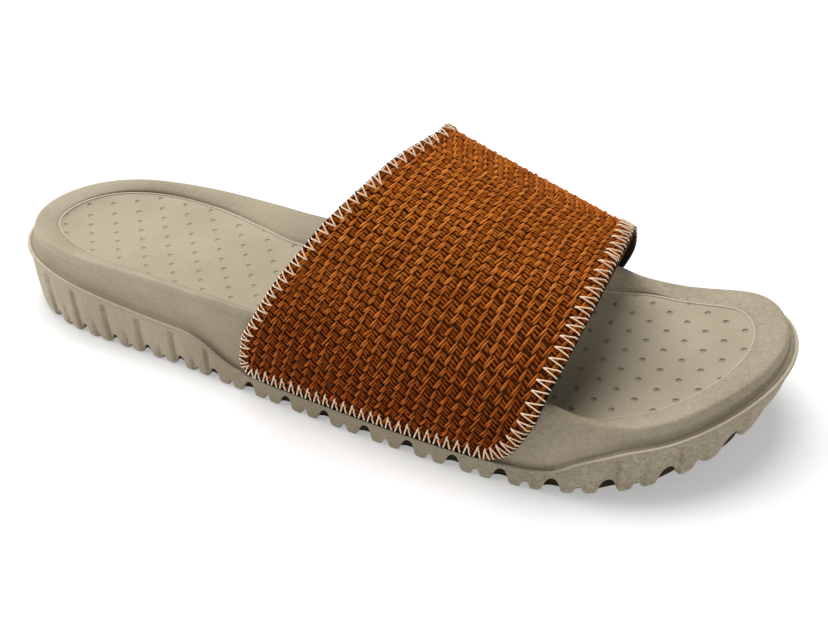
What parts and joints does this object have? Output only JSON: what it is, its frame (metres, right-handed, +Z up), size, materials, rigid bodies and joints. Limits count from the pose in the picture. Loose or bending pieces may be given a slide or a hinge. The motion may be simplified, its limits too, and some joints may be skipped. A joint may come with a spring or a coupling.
{
  "type": "slide sandal",
  "caption": "Sport slide sandal for the right foot: thick foam sole with rolled rim, ledge, grooved tread and toe spring, and one wide woven strap arching over the foot.",
  "frame": {"origin": "on the floor, under the middle of the shoe's box", "axes": "+X from heel to toe, +Y to the inner side of the foot, +Z up from the floor"},
  "size_m": [0.291, 0.1023, 0.0898],
  "materials": {
    "outsole_foam": "matte moulded foam with a fine grain",
    "midsole_foam": "matte moulded foam, smooth on the rim",
    "footbed_foam": "matte moulded foam with small round dimples",
    "woven_strap": "coarse rust-brown waffle weave with pale whip stitching"
  },
  "bodies": {
    "root": {"outsole": "outsole_foam", "midsole": "midsole_foam", "footbed": "footbed_foam", "strap": "woven_strap"}
  },
  "joints": []
}
